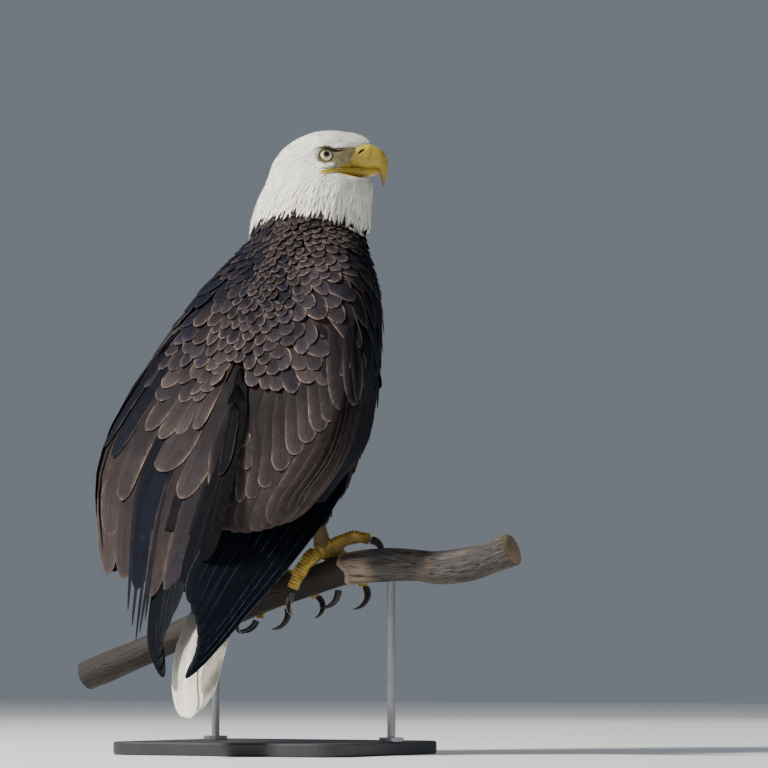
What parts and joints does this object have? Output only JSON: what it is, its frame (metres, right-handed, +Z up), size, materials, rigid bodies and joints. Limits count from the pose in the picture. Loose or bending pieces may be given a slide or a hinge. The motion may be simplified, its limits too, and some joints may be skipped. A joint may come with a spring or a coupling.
{
  "type": "bald eagle",
  "caption": "Life-size perched bald eagle with folded wings and its head turned to its right, gripping a cut branch on a plain display stand.",
  "frame": {"origin": "centre of the stand base's underside, on the floor", "axes": "+Z up; the breast faces -Y and the tail +Y; the right wing is on the -X side; the head is turned 60 degrees to the bird's right"},
  "size_m": [0.6309, 0.3756, 0.7849],
  "materials": {
    "white_feather": "soft matt white feathers with warm cream shading",
    "brown_feather": "matt dark brown feathers with paler worn edges",
    "flight_feather": "smooth blue-black flight feathers with a slight sheen",
    "bill": "smooth horn, deep yellow",
    "toe_skin": "scaly yellow skin",
    "claw": "polished dark horn",
    "eye": "wet, pale yellow iris with a black pupil",
    "bark": "weathered grey-brown bark",
    "stand_base": "satin black",
    "stand_rod": "brushed"
  },
  "bodies": {
    "root": {"bill_lower": "bill", "bill_upper": "bill", "claw_left_hind": "claw", "claw_left_inner": "claw", "claw_left_middle": "claw", "claw_left_outer": "claw", "claw_right_hind": "claw", "claw_right_inner": "claw", "claw_right_middle": "claw", "claw_right_outer": "claw", "eye_left": "eye", "eye_right": "eye", "head": "white_feather", "neck": "white_feather", "perch_branch": "bark", "stand_base": "stand_base", "stand_rod_1": "stand_rod", "stand_rod_2": "stand_rod", "tail": "white_feather", "tarsus_left": "toe_skin", "tarsus_right": "toe_skin", "thigh_left": "brown_feather", "thigh_right": "brown_feather", "toe_left_hind": "toe_skin", "toe_left_inner": "toe_skin", "toe_left_middle": "toe_skin", "toe_left_outer": "toe_skin", "toe_right_hind": "toe_skin", "toe_right_inner": "toe_skin", "toe_right_middle": "toe_skin", "toe_right_outer": "toe_skin", "trunk": "brown_feather", "undertail_coverts": "white_feather", "wing_left_coverts": "brown_feather", "wing_left_primaries": "flight_feather", "wing_left_secondaries": "brown_feather", "wing_right_coverts": "brown_feather", "wing_right_primaries": "flight_feather", "wing_right_secondaries": "brown_feather"}
  },
  "joints": []
}
